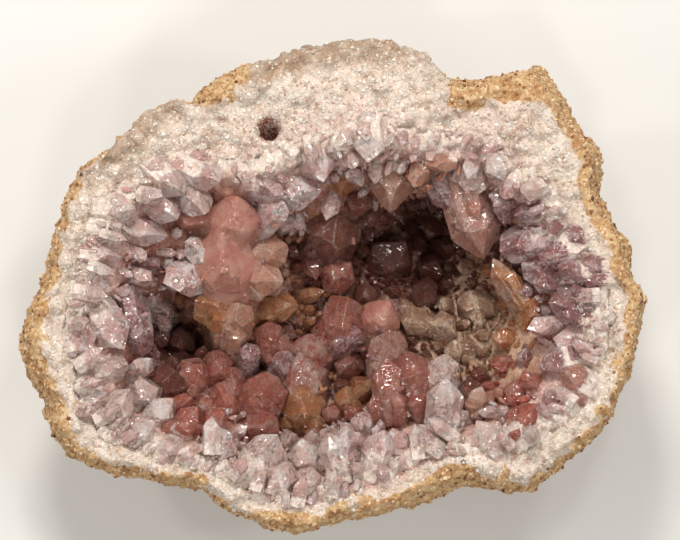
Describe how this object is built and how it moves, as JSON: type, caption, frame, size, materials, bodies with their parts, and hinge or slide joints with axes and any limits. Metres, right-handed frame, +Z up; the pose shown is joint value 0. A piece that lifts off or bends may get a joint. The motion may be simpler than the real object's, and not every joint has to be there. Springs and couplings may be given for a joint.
{
  "type": "pink amethyst geode",
  "caption": "Half of a hollow geode on its back, with a lumpy sand-coloured rind, a white quartz rim and a deep hollow lined with pink and lilac amethyst crystals.",
  "frame": {"origin": "middle of the bounding box in X and Y, at the height of the flat that the geode rests on", "axes": "+X along the geode's length, +Y towards the side whose rim overhangs the large pocket, +Z up out of the hollow"},
  "size_m": [0.1149, 0.0905, 0.0443],
  "materials": {
    "rind_and_wall": "rough sandy rind and sugary white quartz",
    "pink_amethyst": "glossy crystal faces"
  },
  "bodies": {
    "root": {"geode_shell": "rind_and_wall", "crystal_crust": "pink_amethyst"}
  },
  "joints": []
}
